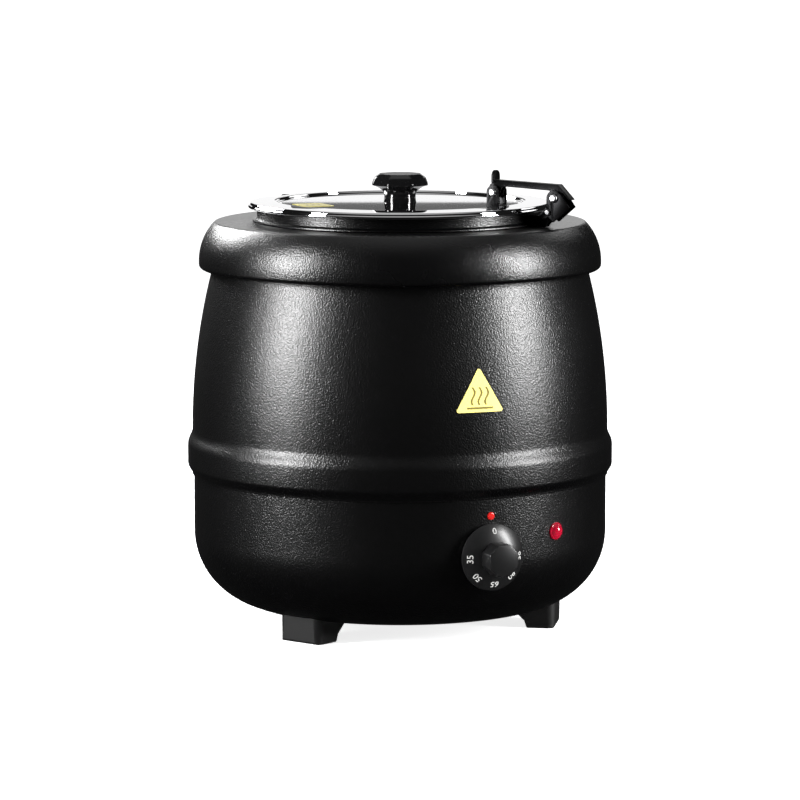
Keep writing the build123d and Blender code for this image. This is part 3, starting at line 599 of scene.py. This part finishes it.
skirt = turned("dial_skirt", [
    (3.0, 3.0), (22.5, 3.0), (22.5, 0.0), (25.6, 0.0), (DIAL_RADIUS, 0.4), (DIAL_RADIUS, RIM_HEIGHT - 0.3),
    (DIAL_RADIUS - 0.4, RIM_HEIGHT + 0.1), (CONE_RADIUS, CONE_HEIGHT), (3.0, CONE_HEIGHT), (3.0, 3.0),
], steps=128)
smooth(skirt)
face_front(skirt, DIAL_BACK)
finish_piece(skirt, "dial", "dial_plastic", dial_plastic, "control_knob")

bpy.ops.object.select_all(action="DESELECT")
grip_length = DIAL_DEPTH - CONE_HEIGHT + 1.0
bpy.ops.mesh.primitive_cylinder_add(
    vertices=8, radius=GRIP_FLATS / 2 / cos(pi / 8) * MM, depth=grip_length * MM,
    location=(0, 0, (CONE_HEIGHT - 1.0 + grip_length / 2) * MM), rotation=(0, 0, pi / 8))
grip = bpy.context.object
grip.name = "dial_grip"
bpy.ops.object.transform_apply(location=True, rotation=True, scale=True)
soften = grip.modifiers.new("soften", "BEVEL")
soften.width = 0.9 * MM
soften.segments = 3
soften.limit_method = "ANGLE"
apply_all(grip)
smooth(grip, 40)
face_front(grip, DIAL_BACK)
finish_piece(grip, "dial", "dial_plastic", dial_plastic)


# Dial numbers: white printed figures on the cone, their tops outward.
white_print = grained("white_print", (0.42, 0.42, 0.41), 0.5, 900, 0.01)

CONE_SLOPE = (CONE_HEIGHT - RIM_HEIGHT) / (DIAL_RADIUS - CONE_RADIUS)
FIGURE_RADIUS = 20.5
figure_height = RIM_HEIGHT + (DIAL_RADIUS - FIGURE_RADIUS) * CONE_SLOPE
figures = []
for turn, text in ((0, "0"), (90, "95"), (135, "80"), (180, "65"), (225, "50"), (270, "35")):
    bpy.ops.object.select_all(action="DESELECT")
    bpy.ops.object.text_add()
    figure = bpy.context.object
    figure.data.body = text
    figure.data.size = 7.2 * MM
    figure.data.align_x = "CENTER"
    figure.data.align_y = "CENTER"
    figure.data.extrude = 0.06 * MM
    figure.data.resolution_u = 3
    bpy.ops.object.convert(target="MESH")
    figure = bpy.context.object
    figure.rotation_euler = (-radians(27.7), 0, 0)
    bpy.ops.object.transform_apply(location=False, rotation=True, scale=True)
    figure.location = (0, FIGURE_RADIUS * MM, (figure_height + 0.03) * MM)
    bpy.ops.object.transform_apply(location=True, rotation=False, scale=False)
    figure.rotation_euler = (0, 0, -radians(turn))
    bpy.ops.object.transform_apply(location=False, rotation=True, scale=False)
    figures.append(figure)
bpy.ops.object.select_all(action="DESELECT")
for figure in figures:
    figure.select_set(True)
bpy.context.view_layer.objects.active = figures[0]
bpy.ops.object.join()
numbers = bpy.context.object
numbers.name = "dial_numbers"
face_front(numbers, DIAL_BACK)
finish_piece(numbers, "dial", "dial_plastic", white_print)


# Pilot lamp: clear red moulded lens with a flat flange, and the small red index dot above the dial.
def red_plastic(name, colour, clear, glow):
    material = grained(name, colour, 0.12, 1200, 0.01, 0.03)
    shader = material.node_tree.nodes["Principled BSDF"]
    shader.inputs["Transmission Weight"].default_value = clear
    shader.inputs["Emission Color"].default_value = (*colour, 1)
    shader.inputs["Emission Strength"].default_value = glow
    return material


lens_red = red_plastic("lamp_red", (0.33, 0.004, 0.02), 0.25, 0.06)
dot_red = red_plastic("dot_red", (0.42, 0.012, 0.01), 0.0, 0.0)

LAMP_RADIUS = 6.8
lens = turned("pilot_lamp_lens", [
    (0.0, -5.0), (4.1, -5.0), (4.1, 0.1), (LAMP_RADIUS, 0.1), (LAMP_RADIUS, 1.0), (LAMP_RADIUS - 0.4, 1.5),
    (6.0, 1.6), (5.5, 2.4), (4.8, 3.3), (3.7, 4.2), (2.4, 4.9), (1.2, 5.2), (0.0, 5.3),
], steps=64)
lens.rotation_euler = (pi / 2, 0, radians(LAMP_AZIMUTH))
lens.location = (BASE_RADIUS * MM * sin(radians(LAMP_AZIMUTH)), -BASE_RADIUS * MM * cos(radians(LAMP_AZIMUTH)),
                 LAMP_HEIGHT * MM)
bpy.ops.object.transform_apply(location=True, rotation=True, scale=True)
smooth(lens)
finish_piece(lens, "base", "red_lens", lens_red, "lamp_lens")

DOT_HEIGHT = 108.5
dot = turned("index_dot_drop", [(3.0, -0.6), (3.0, 0.35), (2.6, 0.75), (1.6, 0.95), (0.0, 1.0)], steps=48)
dot.rotation_euler = (pi / 2, 0, 0)
dot.location = (0, -BASE_RADIUS * MM, DOT_HEIGHT * MM)
bpy.ops.object.transform_apply(location=True, rotation=True, scale=True)
smooth(dot)
finish_piece(dot, "base", "red_paint", dot_red, "index_dot")


# Labels: yellow vinyl printed with three dark heat waves over a bar, the usual sign for a hot surface.
# The sign is printed in the vinyl, and both labels keep the CAD shape.
WAVE_TURNS = 18.0     # the sign's sizes are shares of the label's size
WAVE_SWING = 0.035
WAVE_MIDDLE = 0.02
WAVE_HALF = 0.17
WAVE_PITCH = 0.14
LINE_HALF = 0.022
BAR_DROP = 0.21
BAR_HALF = 0.02
BAR_REACH = 0.27


def printed_vinyl(name, colour, centre, across, upward, size):
    """Vinyl with the hot-surface sign, laid out from a centre along two directions in the label's plane."""
    material = grained(name, colour, 0.28, 400, 0.01)
    tree = material.node_tree

    def sum_of(operation, *terms):
        node = tree.nodes.new("ShaderNodeMath")
        node.operation = operation
        for index, term in enumerate(terms):
            if isinstance(term, (int, float)):
                node.inputs[index].default_value = term
            else:
                tree.links.new(term, node.inputs[index])
        return node.outputs["Value"]

    place = tree.nodes.new("ShaderNodeTexCoord")

    def along(direction):
        dot = tree.nodes.new("ShaderNodeVectorMath")
        dot.operation = "DOT_PRODUCT"
        dot.inputs[1].default_value = direction
        tree.links.new(place.outputs["Object"], dot.inputs[0])
        offset = sum(a * b for a, b in zip(direction, centre))
        return sum_of("DIVIDE", sum_of("SUBTRACT", dot.outputs["Value"], offset), size)

    u, v = along(across), along(upward)
    wave = sum_of("MULTIPLY", sum_of("SINE", sum_of("MULTIPLY", v, WAVE_TURNS)), WAVE_SWING)
    inside = sum_of("LESS_THAN", sum_of("ABSOLUTE", sum_of("SUBTRACT", v, WAVE_MIDDLE)), WAVE_HALF)
    marks = 0.0
    for offset in (-WAVE_PITCH, 0.0, WAVE_PITCH):
        line = sum_of("ABSOLUTE", sum_of("SUBTRACT", sum_of("SUBTRACT", u, wave), offset))
        marks = sum_of("MAXIMUM", marks, sum_of("LESS_THAN", line, LINE_HALF))
    marks = sum_of("MULTIPLY", marks, inside)
    bar = sum_of("MULTIPLY", sum_of("LESS_THAN", sum_of("ABSOLUTE", sum_of("ADD", v, BAR_DROP)), BAR_HALF),
                 sum_of("LESS_THAN", sum_of("ABSOLUTE", u), BAR_REACH))
    ink = tree.nodes.new("ShaderNodeMix")
    ink.data_type = "RGBA"
    ink.inputs["A"].default_value = (*colour, 1)
    ink.inputs["B"].default_value = (0.16, 0.13, 0.03, 1)
    tree.links.new(sum_of("MAXIMUM", marks, bar), ink.inputs["Factor"])
    tree.links.new(ink.outputs["Result"], tree.nodes["Principled BSDF"].inputs["Base Color"])
    return material


LABEL_AZIMUTH = radians(-3.2)
LABEL_HEIGHT = 201.0
label_vinyl = printed_vinyl(
    "yellow_vinyl", (0.84, 0.72, 0.2),
    (barrel_radius(LABEL_HEIGHT) * MM * sin(LABEL_AZIMUTH), -barrel_radius(LABEL_HEIGHT) * MM * cos(LABEL_AZIMUTH),
     LABEL_HEIGHT * MM), (cos(LABEL_AZIMUTH), sin(LABEL_AZIMUTH), 0), (0, 0, 1), 0.04)
lid_vinyl = printed_vinyl(
    "lid_label_vinyl", (0.42, 0.37, 0.09), (-0.074, 0.004, PANEL_HEIGHT * MM), (1, 0, 0), (0, 1, 0), 0.036)


# Everything else keeps its CAD shape and gets the finish of its own stuff.
foot_plastic = grained("foot_plastic", (0.005, 0.005, 0.005), 0.45, 900, 0.04)
satin_steel = polished("satin_stainless", (0.6, 0.6, 0.6), 0.28, 0.02)
zinc_plate = polished("zinc_plate", (0.52, 0.54, 0.57), 0.34)
brass = polished("turned_brass", (0.7, 0.5, 0.22), 0.25)
copper = polished("drawn_copper", (0.72, 0.4, 0.27), 0.3)
sheath = polished("heater_sheath", (0.3, 0.27, 0.25), 0.45)
white_block = grained("white_thermoset", (0.78, 0.76, 0.7), 0.4, 800, 0.02)
black_nylon = grained("black_nylon", (0.02, 0.02, 0.02), 0.4, 900, 0.03)
insulation = grained("silicone_insulation", (0.7, 0.68, 0.62), 0.55, 600, 0.02)


CAD_FINISH = {
    "water_well": satin_steel, "soup_pot": satin_steel,
    "knob_insert": brass, "lid_knob_screw": zinc_plate, "lid_knob_washer": zinc_plate,
    "lid_bracket_rivet": bright_plate, "hinge_bracket_rivet": bright_plate,
    "lid_pin": bright_plate, "arm_pin": bright_plate, "link_pin": bright_plate,
    "thermostat_shaft": zinc_plate, "thermostat_body": white_block, "thermostat_screws": zinc_plate,
    "lamp_housing": black_nylon, "caution_label": label_vinyl, "lid_label": lid_vinyl,
    "heating_element": sheath, "heater_clamp_plate": zinc_plate, "heater_stud": zinc_plate,
    "heater_nut": zinc_plate, "heater_washer": zinc_plate, "thermal_cutout": white_block,
    "capillary_tube": copper, "bulb_clips": zinc_plate, "terminal_block": white_block,
    "earth_stud": brass, "wiring": insulation, "cord_gland": black_nylon, "gland_nut": black_nylon,
    "bottom_cover": zinc_plate, "cover_screws": zinc_plate,
    "foot_1": foot_plastic, "foot_2": foot_plastic, "foot_3": foot_plastic,
    "foot_screws": zinc_plate, "foot_nuts": zinc_plate,
}
for node, material in CAD_FINISH.items():
    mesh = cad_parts[node].data
    mesh.materials.clear()
    mesh.materials.append(material)
